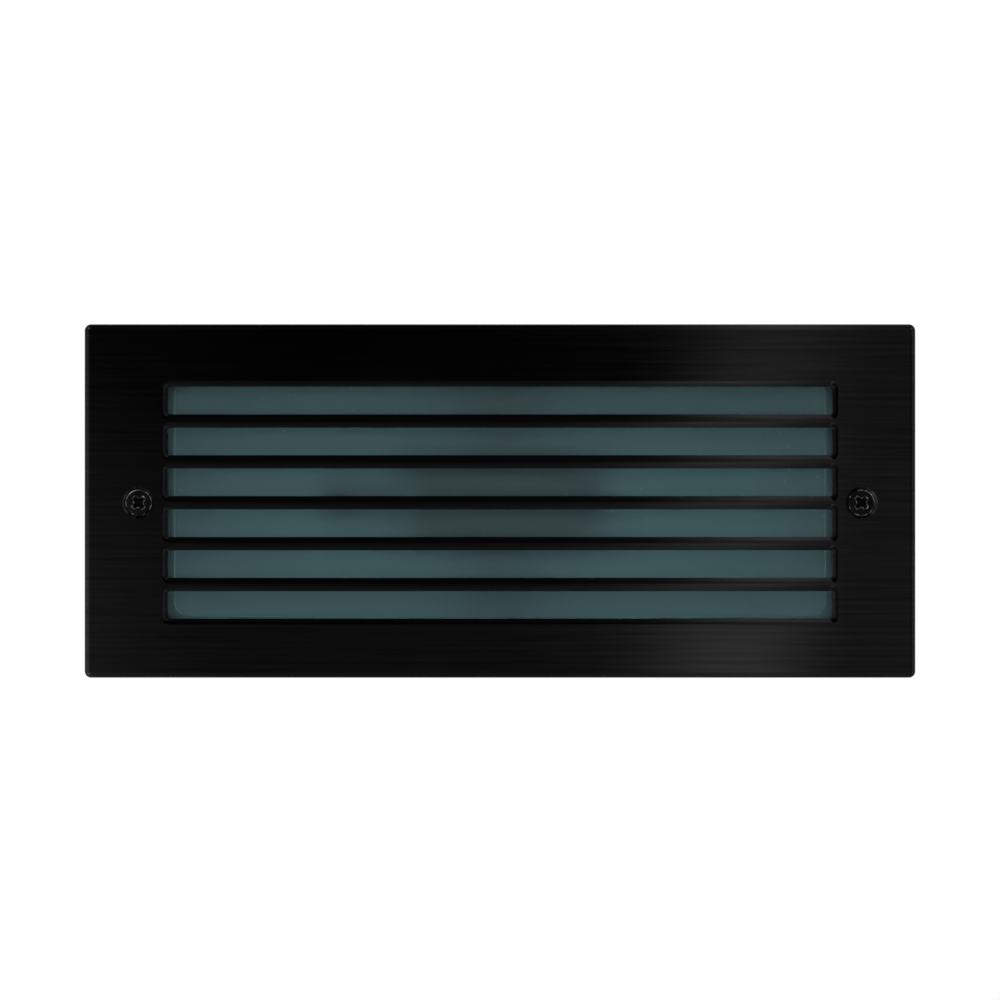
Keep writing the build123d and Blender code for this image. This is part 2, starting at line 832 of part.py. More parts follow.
# Earth lug and its screw
with BuildPart() as earth_lug:
    with BuildSketch(facing(earth_top)):
        with Locations((earth_x, earth_z)):
            Circle(lug_r)
        with Locations((earth_x, earth_z - lug_r)):
            Rectangle(2 * barrel_r, 2 * (barrel_gap + neck_lap))
        with Locations((earth_x, earth_z)):
            Circle(lug_bore_r, mode=Mode.SUBTRACT)
    extrude(amount=lug_t)
    with BuildSketch(Plane.XY.offset(barrel_top_z)):
        with Locations((earth_x, clamp_y)):
            Circle(barrel_r)
    extrude(amount=-barrel_len)
    with BuildSketch(Plane.XY.offset(barrel_top_z - barrel_len)):
        with Locations((earth_x, clamp_y)):
            Circle(barrel_bore_r)
    extrude(amount=barrel_len - barrel_floor, mode=Mode.SUBTRACT)
save(earth_lug, "earth_lug")

earth_screw = pan_screws(
    [(earth_x, earth_z)],
    earth_top - lug_t,
    earth_screw_len,
    shank_r=earth_screw_r,
    head_r=earth_head_r,
    head_h=earth_head_h,
)
save(earth_screw, "earth_screw")

# Leads from the driver to the board, and from the terminals to the driver and the earth lug
for colour, z in (("red", lead_pair), ("black", -lead_pair)):
    led_lead = lead(
        [
            (driver_left, clamp_y, z),
            (grommet_x, clamp_y, z),
            (grommet_x, connector_lead_y, z),
            (connector_left, connector_lead_y, z),
        ]
    )
    save(led_lead, f"led_lead_{colour}")

lead_stop = term_left + clamp_inset + lead_entry
for name, exit_z, pole_z in (("live_lead", -mains_exit, poles[0]), ("neutral_lead", mains_exit, poles[1])):
    mains_lead = lead(
        [
            (driver_right, clamp_y, exit_z),
            (driver_right + mains_run, clamp_y, exit_z),
            (term_left - mains_run, clamp_y, pole_z),
            (lead_stop, clamp_y, pole_z),
        ]
    )
    save(mains_lead, name)

earth_lead = lead(
    [
        (lead_stop, clamp_y, poles[-1]),
        (earth_x, clamp_y, poles[-1]),
        (earth_x, clamp_y, barrel_top_z - barrel_len + lug_entry),
    ]
)
save(earth_lead, "earth_lead")

# Cable gland: body, seal and cap nut
with BuildPart() as gland_body:
    with BuildSketch(facing(gland_in_y)):
        with Locations((entry_x, 0)):
            Circle(thread_r)
    extrude(amount=-(collar_front - gland_in_y))
    with BuildSketch(facing(collar_front)):
        with Locations((entry_x, 0)):
            RegularPolygon(collar_af / 2, 6, major_radius=False)
    extrude(amount=-collar_t)
    with BuildSketch(facing(collar_back)):
        with Locations((entry_x, 0)):
            Circle(neck_r)
    extrude(amount=-neck_len)
    with BuildSketch(facing(gland_in_y)):
        with Locations((entry_x, 0)):
            Circle(gland_bore_r)
    extrude(amount=-(neck_back - gland_in_y), mode=Mode.SUBTRACT)
    with BuildSketch(facing(seal_front)):
        with Locations((entry_x, 0)):
            Circle(seal_seat_r)
    extrude(amount=-(neck_back - seal_front), mode=Mode.SUBTRACT)
save(gland_body, "gland_body")

with BuildPart() as gland_seal:
    with BuildSketch(facing(seal_front)):
        with Locations((entry_x, 0)):
            Circle(seal_r)
            Circle(seal_bore_r, mode=Mode.SUBTRACT)
    extrude(amount=-(seal_back - seal_front))
save(gland_seal, "gland_seal")

with BuildPart() as gland_cap_nut:
    with BuildSketch(facing(cap_shoulder)):
        with Locations((entry_x, 0)):
            Circle(cap_dome_r)
    extrude(amount=-cap_dome_len)
    fillet(gland_cap_nut.edges().group_by(Axis.Y)[-1], cap_dome_edge_r)
    with BuildSketch(facing(cap_front)):
        with Locations((entry_x, 0)):
            RegularPolygon(cap_af / 2, 6, major_radius=False)
    extrude(amount=-cap_hex_len)
    with BuildSketch(facing(cap_front)):
        with Locations((entry_x, 0)):
            Circle(cap_bore_r)
    extrude(amount=-(seal_back + cap_seat_gap - cap_front), mode=Mode.SUBTRACT)
    with BuildSketch(facing(cap_front)):
        with Locations((entry_x, 0)):
            Circle(cap_hole_r)
    extrude(amount=-(cap_back - cap_front), mode=Mode.SUBTRACT)
save(gland_cap_nut, "gland_cap_nut")

# Locknuts and sealing washers of both entries
with BuildPart() as entry_locknuts:
    with BuildSketch(facing(rear_inner)):
        with Locations(*entry_points):
            RegularPolygon(nut_af / 2, 6, major_radius=False)
            Circle(nut_bore_r, mode=Mode.SUBTRACT)
    extrude(amount=nut_t)
save(entry_locknuts, "entry_locknuts")

with BuildPart() as entry_washers:
    with BuildSketch(facing(pad_out)):
        with Locations(*entry_points):
            Circle(washer_r)
            Circle(washer_bore_r, mode=Mode.SUBTRACT)
    extrude(amount=-washer_t)
save(entry_washers, "entry_washers")

# Plug that closes the second entry
with BuildPart() as blanking_plug:
    with BuildSketch(facing(collar_front)):
        with Locations((-entry_x, 0)):
            Circle(plug_head_r)
    extrude(amount=-plug_head_t)
    fillet(blanking_plug.edges().group_by(Axis.Y)[-1], plug_head_edge_r)
    with BuildSketch(facing(plug_in_y)):
        with Locations((-entry_x, 0)):
            Circle(thread_r)
    extrude(amount=-(collar_front - plug_in_y))
    with BuildSketch(facing(plug_in_y)):
        with Locations((-entry_x, 0)):
            Circle(plug_bore_r)
    extrude(amount=-(collar_front - plug_in_y), mode=Mode.SUBTRACT)
    with BuildSketch(facing(collar_front + plug_head_t)):
        with Locations((-entry_x, 0)):
            Rectangle(2 * plug_head_r, plug_slot_w)
    extrude(amount=plug_slot_depth, mode=Mode.SUBTRACT)
save(blanking_plug, "blanking_plug")
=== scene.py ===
import json
import math

import bmesh
import bpy
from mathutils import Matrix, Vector


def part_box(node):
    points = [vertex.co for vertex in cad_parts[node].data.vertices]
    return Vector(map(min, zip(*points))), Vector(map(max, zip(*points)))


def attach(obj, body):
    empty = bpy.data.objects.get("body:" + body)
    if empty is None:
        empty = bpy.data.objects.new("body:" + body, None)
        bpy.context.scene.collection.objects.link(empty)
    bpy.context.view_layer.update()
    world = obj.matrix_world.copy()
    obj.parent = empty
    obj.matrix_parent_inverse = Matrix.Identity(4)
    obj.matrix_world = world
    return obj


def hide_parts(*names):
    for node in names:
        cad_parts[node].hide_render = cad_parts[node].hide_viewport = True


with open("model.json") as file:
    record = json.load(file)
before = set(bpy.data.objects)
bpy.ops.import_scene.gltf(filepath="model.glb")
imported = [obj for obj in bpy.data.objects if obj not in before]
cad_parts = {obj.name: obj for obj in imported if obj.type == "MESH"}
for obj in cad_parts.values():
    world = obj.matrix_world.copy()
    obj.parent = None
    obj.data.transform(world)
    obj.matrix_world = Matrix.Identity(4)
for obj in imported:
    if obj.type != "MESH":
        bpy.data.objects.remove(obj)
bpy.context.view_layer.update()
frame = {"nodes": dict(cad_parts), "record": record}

# Recessed brick light. Metres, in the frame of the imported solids: the light looks along -Y and +Z is up.
MM = 0.001
ORIGIN = (0.0, 0.0, 0.0)
EVEN = (1.0, 1.0, 1.0)

# Camera, square on to the cover, whose outline lies a little behind its front
PLATE_LOW, PLATE_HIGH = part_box("faceplate")
PLATE_W = PLATE_HIGH.x - PLATE_LOW.x
IMAGE_PX = 1000
PLATE_PX = 830.5
PLATE_CENTRE_PX = 501.0
CAMERA_REACH = 1.3
OUTLINE_BACK = 1.6 * MM
SENSOR_MM = 36.0

# Studio
WORLD_LEVEL = 0.56
KEY_PLACE = (-0.2, -1.1, 1.1)
KEY_SIZE = 0.9
KEY_POWER = 12.8
LOW_PLACE = (0.0, -0.9, -0.5)
LOW_SIZE = 0.6
LOW_POWER = 2.5
FLOOR_Z = -0.3
FLOOR_R = 1.1
FLOOR_SIDES = 96
FLOOR_FADE = (FLOOR_R / 3, FLOOR_R * 0.98)
FLOOR_CLOUD = 6.0
FLOOR_DARK = (0.8, 0.8, 0.8)
FLOOR_PALE = (0.84, 0.84, 0.84)
FLOOR_ROUGH = 0.9

# Tent round the front, open at the back
TENT_R = 1.6
TENT_SIDES = 64
TENT_RINGS = 32
TENT_BACK = 0.6
TENT_FADE_Y = (0.15, TENT_BACK)
TENT_DARK = 0.006

# Light of the tent: levels, gains on them, and the stretches of X or Z over which they change
COVER_Z = (-0.1, 0.1)
BAND_CENTRE = 0.162
BAND_LEAN = 0.011
BAND_LEFT_W = 0.08
BAND_RIGHT_W = 0.07
BAND_LEVELS = (0.62, 0.33)
BAND_TOP_GAIN = 2.2
BAND_TOP_Z = (0.15, 0.5)
BAND_FOOT_GAIN = 0.45
BAND_FOOT_Z = (-0.45, -0.15)
RIGHT_LEVEL = 0.14
RIGHT_X = (0.19, 0.25)
RIGHT_OUTER_GAIN = 0.4
RIGHT_OUTER_X = (0.3, 0.7)
RIGHT_LOW_GAIN = 1.3
RIGHT_LOW_Z = (-0.1, 0.0)
RIGHT_FAR_LEVEL = 0.3
RIGHT_FAR_X = (0.8, 1.4)
LEFT_LEVEL = 0.27
LEFT_X = (-0.38, -0.17)
LEFT_HIGH_GAIN = 0.25
LEFT_FAR_LEVEL = 0.3
LEFT_FAR_X = (-1.4, -0.6)
HAZE_LEVEL = 0.09
HAZE_Z = (-0.02, 0.075)
HAZE_INNER_GAIN = 1.7
HAZE_INNER_X = (0.0, 0.1)
HAZE_OUTER_GAIN = 0.1
HAZE_OUTER_X = (0.12, 0.22)
FOOT_LEVEL = 0.06
FOOT_Z = (-0.75, -0.25)
TOP_LEVEL = 0.035
TOP_Z = (0.15, 0.4)

# Round lights on the tent: X, Z and level
CORNER_LIGHTS = ((-0.9, 0.9, 2.2), (0.95, 0.85, 1.4), (-0.95, -0.9, 1.4))
CORNER_R = 0.42

# Ramps, and the range that noise mostly takes
RISE = (0.0, 1.0)
FALL = (1.0, 0.0)
NOISE_RANGE = (0.3, 0.7)

# Places of the sockets of a colour mix
MIX_FACTOR = 0
MIX_FIRST = 6
MIX_SECOND = 7
MIX_RESULT = 2

# Cover finish
COVER_DARK = (0.028, 0.028, 0.028)
COVER_PALE = (0.052, 0.052, 0.052)
COVER_GRAZE = (0.4, 0.4, 0.4)
COVER_STREAK = 0.6
COVER_CLOUD = 24.0
COVER_CLOUD_STRETCH = (1.0, 1.0, 2.0)
COVER_GLOSS = (0.08, 0.13)
COVER_GLOSS_RANGE = (0.7, 1.3)
COVER_BACK_MATT = 0.35
COVER_BACK_RANGE = (0.3, 0.7)
BRUSH_LINES = (20.0, 900.0, 950.0)
BRUSH_DEPTH = 0.004 * MM

# Finish of the cover screws, and of their rubbed recesses
SCREW_BLACK = (0.01, 0.01, 0.01)
SCREW_BARE = (0.62, 0.6, 0.57)
SCREW_ROUGH = (0.22, 0.42)
SCREW_METAL = 0.85
SCREW_GRAIN = 2500.0
SCREW_GRAIN_DEPTH = 0.006 * MM
WEAR_GRAIN = 900.0
WEAR_RANGE = (0.66, 0.86)
WEAR_TURN = {"cover_screw_left": 0.0, "cover_screw_right": 90.0}
RIM_WEAR = 0.3
RIM_WEAR_R = (3.4 * MM, 3.6 * MM)
RIM_PATCHES = 330.0
RIM_PATCH_STRETCH = (1.0, 1.0, -1.0)
RIM_PATCH_GAIN = (0.15, 1.2)
RIM_PATCH_RANGE = (0.38, 0.64)
RUBBED_DARK = (0.03, 0.03, 0.029)
RUBBED_BARE = (0.7, 0.68, 0.65)
RUBBED_ROUGH = (0.3, 0.5)
RUBBED_METAL = 0.9
SCUFF_GRAIN = 1400.0
SCUFF_RANGE = (0.45, 0.68)
SCUFF_DEPTH = 0.008 * MM

# Frosted glass, with the pale colour of its specks and of a painted highlight on its side-facing edges
GLASS_DARK = (0.312, 0.524, 0.548)
GLASS_LIGHT = (0.328, 0.532, 0.568)
GLASS_SPECK_AND_HIGHLIGHT = (0.86, 0.95, 0.93)
GLASS_CLOUD = 45.0
GLASS_IOR = 1.5
GLASS_ROUGH = (0.36, 0.4)
GLASS_CLEAR = 0.985
GLASS_SPECK_AND_HIGHLIGHT_CLEAR = 0.82
GRIT_GRAIN = 5200.0
GRIT_DEPTH = 0.01 * MM
EDGE_HIGHLIGHT_RANGE = (0.6, 0.98)
SPECK_CELLS = 300.0
SPECK_LEVEL = 0.8
SPECK_RANGE = (0.05, 0.15)
SPECK_GROUPS = 38.0
SPECK_GROUP_RANGE = (0.5, 0.64)

# Pan behind the lens: white paint, with a soft darker band of painted shade down its middle
PAN_WHITE = (0.72, 0.72, 0.7)
PAN_TINT = 0.03
PAN_ROUGH = (0.35, 0.49)
PAN_GRAIN = 800.0
PAN_GRAIN_DEPTH = 0.04 * MM
# Colour of the painted shade down the middle of the pan, with its half width and soft edge
PAN_SHADE = (0.43, 0.435, 0.44)
SHADE_BAND_HALF_W = 12.0 * MM
SHADE_BAND_EDGE = 9.0 * MM
SHADE_BAND_X = (SHADE_BAND_HALF_W - SHADE_BAND_EDGE, SHADE_BAND_HALF_W + SHADE_BAND_EDGE)

# Plain finishes: slot, colour, roughness, fineness and depth of the grain, and share of metal
PLAIN_FINISHES = (
    ("silicone_grey", (0.2, 0.2, 0.2), 0.6, 900.0, 0.03 * MM, 0.0),
    ("rubber_black", (0.018, 0.018, 0.018), 0.6, 1200.0, 0.03 * MM, 0.0),
    ("cast_aluminium", (0.4, 0.405, 0.41), 0.48, 700.0, 0.12 * MM, 0.9),
    ("brass", (0.62, 0.44, 0.18), 0.32, 1600.0, 0.02 * MM, 1.0),
    ("zinc_steel", (0.5, 0.5, 0.48), 0.34, 1800.0, 0.02 * MM, 0.95),
    ("thermal_grey", (0.35, 0.38, 0.4), 0.7, 1500.0, 0.03 * MM, 0.0),
    ("board_black", (0.01, 0.08, 0.088), 0.35, 1500.0, 0.01 * MM, 0.0),
    ("phosphor", (0.62, 0.6, 0.26), 0.5, 2500.0, 0.01 * MM, 0.0),
    ("white_plastic", (0.7, 0.69, 0.65), 0.42, 1500.0, 0.02 * MM, 0.0),
    ("grey_plastic", (0.06, 0.06, 0.063), 0.45, 1500.0, 0.04 * MM, 0.0),
    ("black_plastic", (0.022, 0.022, 0.022), 0.42, 1400.0, 0.04 * MM, 0.0),
    ("lead_red", (0.45, 0.02, 0.02), 0.4, 1800.0, 0.01 * MM, 0.0),
    ("lead_black", (0.018, 0.018, 0.018), 0.4, 1800.0, 0.01 * MM, 0.0),
    ("lead_brown", (0.14, 0.05, 0.02), 0.4, 1800.0, 0.01 * MM, 0.0),
    ("lead_blue", (0.03, 0.12, 0.4), 0.4, 1800.0, 0.01 * MM, 0.0),
    ("lead_green", (0.09, 0.33, 0.06), 0.4, 1800.0, 0.01 * MM, 0.0),
)

# Their unevenness: of gloss, of colour, which is less on pale parts, and grains to a cloud of colour
GLOSS_VARIES = 0.07
PALE_FROM = 0.15
PALE_TINT = 0.04
DARK_TINT = 0.15
CLOUD_GRAINS = 6.0

# Cover screws
SCREW_DOME = 0.5 * MM
DOME_SHARES = (0.15, 0.3, 0.45, 0.6, 0.75, 0.88)
RIM_ROUND = 0.16 * MM
RIM_ANGLES = (20.0, 45.0, 70.0, 90.0)
RIM_CENTRE_SHARE = 0.9
SCREW_CORE_R = 1.58 * MM
SCREW_NECK_R = 1.9 * MM
SCREW_MAJOR_R = 1.94 * MM
SCREW_PITCH = 0.7 * MM
SCREW_PLAIN = 3.0 * MM
SCREW_POINT = 0.5 * MM
SCREW_TIP_SHARE = 0.8
LATHE_SIDES = 64
SHARP_ANGLE = 35.0

# Thread, whose flanks and crest are shares of its pitch
THREAD_SIDES = 28
THREAD_SINK = 0.05 * MM
THREAD_ROOT_SHARE = 0.46
THREAD_CREST_SHARE = 0.08
THREAD_FADED = 0.02

# Cross recess, whose steps are a depth and a share of its size
RECESS_REACH = 2.05 * MM
RECESS_HALF_W = 0.55 * MM
RECESS_ROOT = 1.0 * MM
RECESS_CORNER_SHARE = 0.96
RECESS_TIP_SHARE = 0.5
RECESS_ROOT_SHARE = 1.15
RECESS_STEPS = ((-0.2 * MM, 1.5), (0.06 * MM, 1.33), (0.34 * MM, 1.0), (1.9 * MM, 0.45))
RECESS_RUBBED_STEPS = 2
RECESS_TURN = {"cover_screw_left": 42.0, "cover_screw_right": 45.0}

# LED board
CHIP_COLUMNS = 6
CHIP_ROWS = 2
CHIP_HALF = 1.5 * MM
CHIP_RIM = 0.3 * MM
CHIP_DISH = 0.28 * MM
CHIP_BEVEL = 0.1 * MM
PHOSPHOR_GAP = 0.02 * MM
PAD_W = 0.55 * MM
PAD_H = 2.4 * MM
PAD_RISE = 0.06 * MM
TRACE_H = 1.6 * MM
TRACE_RISE = 0.03 * MM

# Crown of the phosphor: share of the dish's width, cut of the corners, and depth below the rim
PHOSPHOR_CROWN = (
    (1.0, CHIP_RIM, CHIP_DISH / 2),
    (0.7, CHIP_RIM, CHIP_DISH / 3),
    (0.35, CHIP_BEVEL, CHIP_DISH / 4),
)


class Nodes:
    """A node tree whose nodes are added by short calls."""

    def __init__(self, tree):
        self.tree = tree

    def put(self, socket, value):
        if isinstance(value, bpy.types.NodeSocket):
            self.tree.links.new(value, socket)
        else:
            socket.default_value = value

    def node(self, kind, sockets=None, **settings):
        node = self.tree.nodes.new("ShaderNode" + kind)
        for key, value in settings.items():
            setattr(node, key, value)
        for key, value in (sockets or {}).items():
            self.put(node.inputs[key], value)
        return node

    def math(self, operation, first, second=0.0):
        return self.node("Math", {0: first, 1: second}, operation=operation).outputs[0]

    def place(self, stretch=EVEN):
        here = self.node("TexCoord").outputs["Object"]
        return self.node("Mapping", {"Vector": here, "Scale": stretch}).outputs["Vector"]

    def axes(self, vector):
        return self.node("SeparateXYZ", {"Vector": vector}).outputs

    def facing_back(self):
        """The Y of the surface's own direction: 1 on a back face and -1 on a front one."""
        return self.axes(self.node("TexCoord").outputs["Normal"])["Y"]

    def noise(self, scale, stretch=EVEN, detail=4.0, rough=0.55):
        sockets = {"Vector": self.place(stretch), "Scale": scale, "Detail": detail, "Roughness": rough}
        return self.node("TexNoise", sockets).outputs["Fac"]

    def radius(self, stretch):
        return self.node("VectorMath", {0: self.place(stretch)}, operation="LENGTH").outputs["Value"]

    def cells(self, scale):
        return self.node("TexVoronoi", {"Vector": self.place(), "Scale": scale}).outputs["Distance"]

    def span(self, value, result, over=NOISE_RANGE, kind="LINEAR"):
        """Maps a range of a value to a range of results, and holds it at both ends."""
        start, end = over
        low, high = result
        sockets = {"Value": value, "From Min": start, "From Max": end, "To Min": low, "To Max": high}
        return self.node("MapRange", sockets, interpolation_type=kind).outputs["Result"]

    def glow(self, *ramps):
        """The product of smooth ramps, each a value, a range of results and a range of the value."""
        level = 1.0
        for value, result, over in ramps:
            level = self.math("MULTIPLY", level, self.span(value, result, over, "SMOOTHSTEP"))
        return level

    def mix(self, factor, first, second):
        node = self.node("Mix", data_type="RGBA")
        self.put(node.inputs[MIX_FACTOR], factor)
        for place, colour in ((MIX_FIRST, first), (MIX_SECOND, second)):
            self.put(node.inputs[place], (*colour, 1.0) if isinstance(colour, tuple) else colour)
        return node.outputs[MIX_RESULT]

    def bump(self, height, distance, strength):
        sockets = {"Height": height, "Distance": distance, "Strength": strength}
        return self.node("Bump", sockets).outputs["Normal"]


class Shader(Nodes):
    """A material on one Principled surface."""

    def __init__(self, name):
        self.material = bpy.data.materials.new(name)
        self.material.use_nodes = True
        super().__init__(self.material.node_tree)
        self.surface = self.tree.nodes["Principled BSDF"]

    def set(self, **sockets):
        for key, value in sockets.items():
            self.put(self.surface.inputs[key.replace("_", " ")], value)


def shade(colour, share):
    return tuple(channel * share for channel in colour)


def brushed_black():
    """Blackened metal, brushed along X, whose highlight is drawn out along Z. Its back is matt."""
    s = Shader("cover_black")
    lines = s.noise(1.0, BRUSH_LINES, detail=5.0, rough=0.65)
    cloud = s.noise(COVER_CLOUD, COVER_CLOUD_STRETCH, detail=3.0)
    gloss = s.span(s.math("ADD", lines, cloud), COVER_GLOSS, COVER_GLOSS_RANGE)
    matt = s.span(s.facing_back(), (0.0, COVER_BACK_MATT), COVER_BACK_RANGE)
    along = s.node("Tangent", direction_type="RADIAL", axis="X").outputs["Tangent"]
    s.set(Base_Color=s.mix(s.span(lines, RISE), COVER_DARK, COVER_PALE))
    s.set(Roughness=s.math("ADD", gloss, matt), Metallic=1.0)
    s.set(Specular_Tint=(*COVER_GRAZE, 1.0), Anisotropic=COVER_STREAK, Tangent=along)
    s.set(Normal=s.bump(lines, BRUSH_DEPTH, strength=0.3))
    return s.material


def blackened_steel():
    """Blackened screws with bare metal along the rim and where a driver has rubbed them."""
    s = Shader("screw_black")
    wear = s.noise(WEAR_GRAIN, detail=5.0, rough=0.7)
    rim = s.span(s.radius((1.0, 0.0, 1.0)), (0.0, RIM_WEAR), RIM_WEAR_R, "SMOOTHSTEP")
    patches = s.noise(RIM_PATCHES, RIM_PATCH_STRETCH, detail=2.0)
    rim = s.math("MULTIPLY", rim, s.span(patches, RIM_PATCH_GAIN, RIM_PATCH_RANGE))
    worn = s.span(s.math("ADD", wear, rim), RISE, WEAR_RANGE)
    s.set(Base_Color=s.mix(worn, SCREW_BLACK, SCREW_BARE))
    s.set(Roughness=s.span(wear, SCREW_ROUGH), Metallic=SCREW_METAL)
    s.set(Normal=s.bump(s.noise(SCREW_GRAIN), SCREW_GRAIN_DEPTH, strength=0.4))
    return s.material


def rubbed_steel():
    """Bare, scuffed steel at the mouth of a driver recess."""
    s = Shader("screw_rubbed")
    scuff = s.noise(SCUFF_GRAIN, detail=5.0, rough=0.7)
    s.set(Base_Color=s.mix(s.span(scuff, RISE, SCUFF_RANGE), RUBBED_DARK, RUBBED_BARE))
    s.set(Roughness=s.span(scuff, RUBBED_ROUGH), Metallic=RUBBED_METAL)
    s.set(Normal=s.bump(scuff, SCUFF_DEPTH, strength=0.5))
    return s.material


def frosted_glass():
    """Sandblasted green-grey glass, cloudy in places, with a few pale specks and a painted highlight where
    its edges face sideways.
    """
    s = Shader("frosted_glass")
    cloud = s.noise(GLASS_CLOUD, detail=3.0)
    groups = s.span(s.noise(SPECK_GROUPS, detail=2.0), RISE, SPECK_GROUP_RANGE)
    specks = s.math("MULTIPLY", s.span(s.cells(SPECK_CELLS), (SPECK_LEVEL, 0.0), SPECK_RANGE), groups)
    grit = s.noise(GRIT_GRAIN, detail=2.0)
    body = s.mix(s.span(cloud, RISE), GLASS_DARK, GLASS_LIGHT)
    # Faces that turn sideways, at the glass's edges, get the pale colour and less clearness: a painted
    # highlight.
    edge = s.span(s.math("ABSOLUTE", s.facing_back()), FALL, EDGE_HIGHLIGHT_RANGE, "SMOOTHSTEP")
    # The pale colour serves both the real specks and the painted edge highlight.
    pale = s.math("MAXIMUM", edge, specks)
    clear = s.span(pale, (GLASS_CLEAR, GLASS_SPECK_AND_HIGHLIGHT_CLEAR), over=(0.0, 1.0))
    s.set(Base_Color=s.mix(pale, body, GLASS_SPECK_AND_HIGHLIGHT))
    s.set(Roughness=s.span(grit, GLASS_ROUGH), IOR=GLASS_IOR, Transmission_Weight=clear)
    s.set(Normal=s.bump(grit, GRIT_DEPTH, strength=0.08))
    return s.material


def pan_with_painted_shade():
    """White paint with a soft darker band of painted shade down the middle."""
    s = Shader("tray_white")
    grain = s.noise(PAN_GRAIN, detail=3.0)
    white = s.mix(grain, shade(PAN_WHITE, 1.0 - PAN_TINT), shade(PAN_WHITE, 1.0 + PAN_TINT))
    # This band, darker down the middle of the pan, is painted shade.
    bare = s.span(s.math("ABSOLUTE", s.axes(s.place())["X"]), FALL, SHADE_BAND_X, "SMOOTHSTEP")
    s.set(Base_Color=s.mix(bare, white, PAN_SHADE))
    s.set(Roughness=s.span(grain, PAN_ROUGH))
    s.set(Normal=s.bump(grain, PAN_GRAIN_DEPTH, strength=0.5))
    return s.material


def moulded(name, colour, roughness, grain, depth, metallic):
    """A moulded, cast or coated finish: cloudy colour, uneven gloss and a fine grain."""
    s = Shader(name)
    tint = PALE_TINT if min(colour) > PALE_FROM else DARK_TINT
    fine = s.noise(grain, detail=3.0)
    broad = s.noise(grain / CLOUD_GRAINS, detail=4.0)
    s.set(Base_Color=s.mix(s.span(broad, RISE), shade(colour, 1.0 - tint), shade(colour, 1.0 + tint)))
    s.set(Roughness=s.span(fine, (roughness - GLOSS_VARIES, roughness + GLOSS_VARIES)))
    s.set(Metallic=metallic)
    s.set(Normal=s.bump(fine, depth, strength=0.5))
    return s.material


def materials():
    """One material for each slot of the record, and one for the screws' rubbed recesses."""
    made = {
        "cover_black": brushed_black(),
        "screw_black": blackened_steel(),
        "screw_rubbed": rubbed_steel(),
        "frosted_glass": frosted_glass(),
        "tray_white": pan_with_painted_shade(),
    }
    for name, *finish in PLAIN_FINISHES:
        made[name] = moulded(name, *finish)
    return made


def add(name, data, place=ORIGIN):
    """Puts a new object into the scene."""
    thing = bpy.data.objects.new(name, data)
    thing.location = place
    bpy.context.scene.collection.objects.link(thing)
    return thing


def new_mesh(name, bm):
    """Turns a bmesh into a mesh."""
    mesh = bpy.data.meshes.new(name)
    bm.to_mesh(mesh)
    bm.free()
    return mesh


def smooth(mesh):
    """Shades a mesh smooth, apart from its sharp edges."""
    mesh.shade_smooth()
    mesh.set_sharp_from_angle(angle=math.radians(SHARP_ANGLE))


def mesh_piece(name, bm, finishes, body, slot, place=ORIGIN, turn=0.0):
    """Turns a bmesh into a piece in the finish of a slot, turned about Y, that rides on a body."""
    bmesh.ops.recalc_face_normals(bm, faces=bm.faces)
    mesh = new_mesh(name, bm)
    mesh.materials.append(finishes[slot])
    smooth(mesh)
    piece = add(name, mesh, place)
    piece.rotation_euler.y = math.radians(turn)
    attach(piece, body)
    return piece


def lathe(bm, profile):
    """Turns a profile of (radius, y) about the Y axis; its first and last radius are zero."""
    rings = []
    for radius, y in profile[1:-1]:
        ring = []
        for i in range(LATHE_SIDES):
            angle = math.tau * i / LATHE_SIDES
            ring.append(bm.verts.new((radius * math.cos(angle), y, radius * math.sin(angle))))
        rings.append(ring)
    first = bm.verts.new((0.0, profile[0][1], 0.0))
    last = bm.verts.new((0.0, profile[-1][1], 0.0))
    for i in range(LATHE_SIDES):
        j = (i + 1) % LATHE_SIDES
        bm.faces.new((first, rings[0][i], rings[0][j]))
        bm.faces.new((last, rings[-1][j], rings[-1][i]))
        for inner, outer in zip(rings, rings[1:]):
            bm.faces.new((inner[i], outer[i], outer[j], inner[j]))


def skin(bm, loops):
    """Joins loops of points into a closed body, and gives its walls from each loop to the next."""
    count = len(loops[0])
    walls = []
    for loop, following in zip(loops, loops[1:]):
        wall = []
        for i in range(count):
            j = (i + 1) % count
            wall.append(bm.faces.new((loop[i], loop[j], following[j], following[i])))
        walls.append(wall)
    bm.faces.new(reversed(loops[0]))
    bm.faces.new(loops[-1])
    return walls


def thread(bm, y_start, y_end):
    """Adds a closed helical ridge about the Y axis that fades in and out over a turn."""
    steps = int((y_end - y_start) / SCREW_PITCH * THREAD_SIDES)
    root = SCREW_CORE_R - THREAD_SINK
    rows = []
    for i in range(steps + 1):
        angle = math.tau * i / THREAD_SIDES
        fade = min(1.0, i / THREAD_SIDES, (steps - i) / THREAD_SIDES)
        crest = root + (SCREW_MAJOR_R - root) * max(fade, THREAD_FADED)
        y = y_start + SCREW_PITCH * i / THREAD_SIDES
        profile = (
            (root, -THREAD_ROOT_SHARE),
            (crest, -THREAD_CREST_SHARE),
            (crest, THREAD_CREST_SHARE),
            (root, THREAD_ROOT_SHARE),
        )
        row = []
        for radius, share in profile:
            point = (radius * math.cos(angle), y + share * SCREW_PITCH, radius * math.sin(angle))
            row.append(bm.verts.new(point))
        rows.append(row)
    skin(bm, rows)


